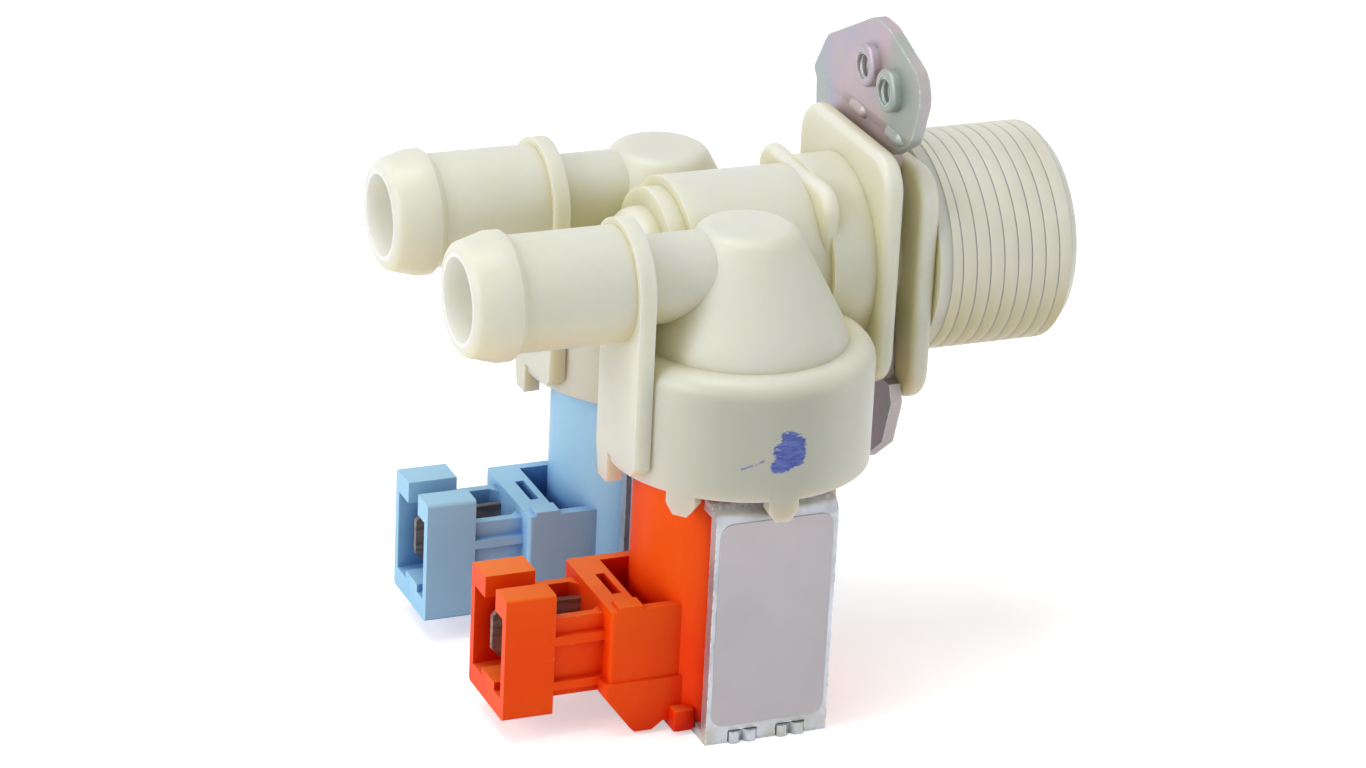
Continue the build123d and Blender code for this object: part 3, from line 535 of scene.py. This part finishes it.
mouldedShine = {"IOR": 1.5}
finishes = {  # for each material slot, and for the inlet's thread: name, fixed values, look
    "natural_nylon": ("naturalNylon", nylon["glass"], nylonLook),
    "thread_nylon": ("threadNylon", mouldedShine, threadLook),
    "orange_coil": ("orangeCoil", {"Specular IOR Level": 0.12}, coilLook(coilPlastics["orange"])),
    "blue_coil": ("blueCoil", {"Specular IOR Level": 0.2}, coilLook(coilPlastics["blue"])),
    "yoke_steel": ("yokeSteel", {}, yokeLook),
    "bracket_zinc": ("bracketZinc", {"Metallic": 0.65}, bracketLook),
    "terminal_metal": ("terminalMetal", {"Metallic": 0.8}, terminalLook),
    "label_film": ("labelFilm", {"IOR": 1.45}, labelLook),
    "strainer_plastic": ("strainerPlastic", mouldedShine, plainLook("strainer")),
    "inner_plastic": ("innerPlastic", mouldedShine, plainLook("inner")),
    "rubber": ("sealRubber", {}, plainLook("rubber")),
    "core_steel": ("coreSteel", {"Metallic": 1}, plainLook("steel")),
    "winding_copper": ("windingCopper", {"Metallic": 0.6, "Roughness": 0.3}, windingLook),
}
materials = {slot: newMaterial(*finish) for slot, finish in finishes.items()}

weldDistance = 1e-6
creaseAngle = 28  # degrees


def smoothGroup(angle):  # welds the loose triangles and shades them smooth up to a crease angle
    group = bpy.data.node_groups.new("smoothShading", "GeometryNodeTree")
    group.interface.new_socket("Geometry", in_out="INPUT", socket_type="NodeSocketGeometry")
    group.interface.new_socket("Geometry", in_out="OUTPUT", socket_type="NodeSocketGeometry")
    make = Nodes(group)
    start = make.add("NodeGroupInput")
    merging = {"Geometry": start, "Distance": weldDistance}
    welded = make.add("GeometryNodeMergeByDistance", None, merging)
    corner = make.add("GeometryNodeInputMeshEdgeAngle", output="Unsigned Angle")
    less = {"operation": "LESS_THAN"}
    gentle = make.add("FunctionNodeCompare", less, {"A": corner, "B": radians(angle)})
    faces = make.add(
        "GeometryNodeSetShadeSmooth",
        {"domain": "FACE"},
        {"Geometry": welded, "Shade Smooth": True},
    )
    edges = make.add(
        "GeometryNodeSetShadeSmooth",
        {"domain": "EDGE"},
        {"Geometry": faces, "Shade Smooth": gentle},
    )
    make.add("NodeGroupOutput", None, {"Geometry": edges})
    return group


creaseGroup = smoothGroup(creaseAngle)


def shadeSmooth(piece):
    shading = piece.modifiers.new("smoothShading", "NODES")
    shading.node_group = creaseGroup


slotOf = {part["node"]: part["material_slot"] for part in frame["record"]["subparts"]}
for name, node in nodes.items():
    node.data.materials.clear()
    node.data.materials.append(materials[slotOf[name]])
    shadeSmooth(node)
print("materials set")


# Threads: a ridge wound round an axis along X, on a plain wall of the frame
threads = {
    "inletThread": {
        "slot": "natural_nylon",
        "look": "thread_nylon",
        "centre": (0, 0),  # Y and Z of the axis
        "wall": 0.01322,  # radius of the plain wall
        "height": 0.00009,
        "sunk": 0.3,  # share of the height by which the ridge's foot lies in the wall
        "pitch": 0.001814,
        "foot": 0.00180,  # width of the ridge on the wall, and along its crest
        "crest": 0.00118,
        "start": 0.0016,
        "end": 0.0172,
        "stepsPerTurn": 120,
    },
    "holeThread1": {
        "slot": "bracket_zinc",
        "look": "bracket_zinc",
        "centre": (-0.006602, 0.021953),
        "wall": 0.00166,
        "height": -0.00026,  # inwards
        "sunk": 0.3,
        "pitch": 0.0007,
        "foot": 0.00056,
        "crest": 0.00012,
        "start": -0.00575,
        "end": -0.0037,
        "stepsPerTurn": 40,
    },
}
threads["holeThread2"] = dict(threads["holeThread1"], centre=(-0.000398, 0.023047))


def mergedCopy(name):  # of a node, whose mesh is loose triangles
    copied = bmesh.new()
    copied.from_mesh(nodes[name].data)
    bmesh.ops.remove_doubles(copied, verts=copied.verts[:], dist=weldDistance)
    return copied


def finishPiece(name, shape, look):
    mesh = bpy.data.meshes.new(name)
    shape.to_mesh(mesh)
    shape.free()
    piece = bpy.data.objects.new(name, mesh)
    bpy.context.scene.collection.objects.link(piece)
    piece.data.materials.append(materials[look])
    shadeSmooth(piece)
    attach(piece, "valve")
    return piece


def addThread(name, setting):
    y, z = setting["centre"]
    crest = setting["wall"] + setting["height"]
    root = setting["wall"] - setting["sunk"] * setting["height"]
    sweep = bmesh.new()
    first = setting["start"] - setting["pitch"]
    corners = [
        sweep.verts.new((first + offset, y, z + radius))
        for offset, radius in (
            (-setting["foot"] / 2, root),
            (-setting["crest"] / 2, crest),
            (setting["crest"] / 2, crest),
            (setting["foot"] / 2, root),
        )
    ]
    sweep.faces.new(corners)
    turns = (setting["end"] - setting["start"]) / setting["pitch"] + 2
    steps = round(turns * setting["stepsPerTurn"])
    bmesh.ops.spin(
        sweep,
        geom=sweep.faces[:] + sweep.edges[:] + sweep.verts[:],
        cent=(0, y, z),
        axis=(1, 0, 0),
        dvec=(setting["pitch"] / setting["stepsPerTurn"], 0, 0),
        angle=2 * pi * steps / setting["stepsPerTurn"],
        steps=steps,
        use_merge=False,
        use_duplicate=False,
    )
    for place, side in ((setting["start"], -1), (setting["end"], 1)):
        cut = bmesh.ops.bisect_plane(
            sweep,
            geom=sweep.faces[:] + sweep.edges[:] + sweep.verts[:],
            plane_co=(place, 0, 0),
            plane_no=(side, 0, 0),
            clear_outer=True,
        )
        rim = [part for part in cut["geom_cut"] if isinstance(part, bmesh.types.BMEdge)]
        bmesh.ops.holes_fill(sweep, edges=rim, sides=0)
    bmesh.ops.recalc_face_normals(sweep, faces=sweep.faces[:])
    finishPiece(name, sweep, setting["look"])


for name, setting in threads.items():
    addThread(name, setting)
print("threads wound:", len(threads))

# Coil housings: the same mouldings with their round side drawn in to its width in the photograph
coilRound = {
    "modelled": 0.0133,
    "seen": 0.012,
    "axes": {
        "front_coil_housing": coilPlastics["orange"]["centre"],
        "rear_coil_housing": coilPlastics["blue"]["centre"],
    },
    "tolerance": 0.00003,
}


def drawIn(name, setting):
    axisX, axisY = setting["axes"][name]
    moulding = mergedCopy(name)
    for vertex in moulding.verts:
        across, along = vertex.co.x - axisX, vertex.co.y - axisY
        offRound = (across**2 + along**2) ** 0.5 - setting["modelled"]
        if abs(offRound) < setting["tolerance"]:
            reach = (setting["seen"] ** 2 - along**2) ** 0.5
            vertex.co.x = axisX + (reach if across > 0 else -reach)
    bmesh.ops.recalc_face_normals(moulding, faces=moulding.faces[:])
    piece = finishPiece(name + "Round", moulding, slotOf[name])
    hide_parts(name)


for name in coilRound["axes"]:
    drawIn(name, coilRound)
print("coil housings drawn in")

# Armature springs: plain copies of the same coils, put in their place
armatureSprings = {
    "joints": {
        "front_armature_spring": "front_armature_slide",
        "rear_armature_spring": "rear_armature_slide",
    },
    "travel": 0.0022,
}


def addSpring(name):
    piece = finishPiece(name + "Pressed", mergedCopy(name), slotOf[name])
    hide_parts(name)
    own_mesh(piece)


for name, joint in armatureSprings["joints"].items():
    addSpring(name)
print("springs added")

# Foot pads: the inner end of each connector's foot, a bar next to the yoke
footPad = {
    "low": (-0.0358, -0.0098, -0.0494),  # Y from the coil's axis
    "high": (-0.0332, 0.0098, -0.0466),
    "bevel": 0.0003,
    "pads": {"frontFootPad": "front_coil_housing", "rearFootPad": "rear_coil_housing"},
}


def addFootPad(name, housing, setting):
    middle = coilRound["axes"][housing][1]
    low, high = Vector(setting["low"]), Vector(setting["high"])
    size, centre = high - low, (high + low) / 2 + Vector((0, middle, 0))
    pad = bmesh.new()
    place = Matrix.Translation(centre) @ Matrix.Diagonal(size).to_4x4()
    bmesh.ops.create_cube(pad, size=1, matrix=place)
    bmesh.ops.bevel(
        pad,
        geom=pad.edges[:],
        offset=setting["bevel"],
        segments=2,
        profile=0.5,
        affect="EDGES",
        material=-1,
    )
    bmesh.ops.recalc_face_normals(pad, faces=pad.faces[:])
    finishPiece(name, pad, slotOf[housing])


for name, housing in footPad["pads"].items():
    addFootPad(name, housing, footPad)
print("foot pads added")

# Studio: pale floor, one large soft lamp above and two at the sides
studio = {
    "floor": rgb(246, 246, 246),
    "floorSize": 4,
    "floorGlow": 0.5,
    "world": 0.42,
    "aim": (-0.02, 0, -0.01),
    "lamps": (  # place, size, watts
        ("topLamp", (-0.2, 0.1, 0.8), 0.6, 2.9),
        ("leftLamp", (-0.8, -0.15, 0.35), 0.5, 2.6),
        ("rightLamp", (0.6, -0.5, 0.3), 0.5, 0.7),
    ),
}


def addStudio(setting):
    bpy.ops.mesh.primitive_plane_add(size=setting["floorSize"], location=(0, 0, cadBox[0][2]))
    floor = bpy.context.object
    floor.name = "floor"
    paper = bpy.data.materials.new("floorPaper")
    paper.use_nodes = True
    tree = paper.node_tree
    tree.nodes.clear()
    make = Nodes(tree)
    seen = make.add("ShaderNodeLightPath", output="Is Camera Ray")
    shown = make.add("ShaderNodeLightPath", output="Is Glossy Ray")
    matte = make.add("ShaderNodeBsdfDiffuse", None, {"Color": setting["floor"]})
    glow = seen.either(shown) * setting["floorGlow"]
    lit = make.add("ShaderNodeEmission", None, {"Color": (1, 1, 1, 1), "Strength": glow})
    both = make.add("ShaderNodeAddShader", None, [matte, lit])
    make.add("ShaderNodeOutputMaterial", None, {"Surface": both})
    floor.data.materials.append(paper)

    world = bpy.data.worlds.new("studio")
    world.use_nodes = True
    make = Nodes(world.node_tree)
    seen = make.add("ShaderNodeLightPath", output="Is Camera Ray")
    shown = make.add("ShaderNodeLightPath", output="Is Glossy Ray")
    strength = seen.either(shown) * (1 - setting["world"]) + setting["world"]
    background = world.node_tree.nodes["Background"]
    background.inputs["Color"].default_value = (1, 1, 1, 1)
    world.node_tree.links.new(strength.socket, background.inputs["Strength"])
    bpy.context.scene.world = world

    for name, place, size, power in setting["lamps"]:
        light = bpy.data.lights.new(name, "AREA")
        light.shape = "DISK"
        light.size = size
        light.energy = power
        lamp = bpy.data.objects.new(name, light)
        bpy.context.scene.collection.objects.link(lamp)
        aim = Vector(setting["aim"]) - Vector(place)
        turned = aim.to_track_quat("-Z", "Y").to_matrix().to_4x4()
        lamp.matrix_world = Matrix.Translation(place) @ turned


addStudio(studio)
bpy.context.scene.view_settings.view_transform = "Standard"
print("studio set")
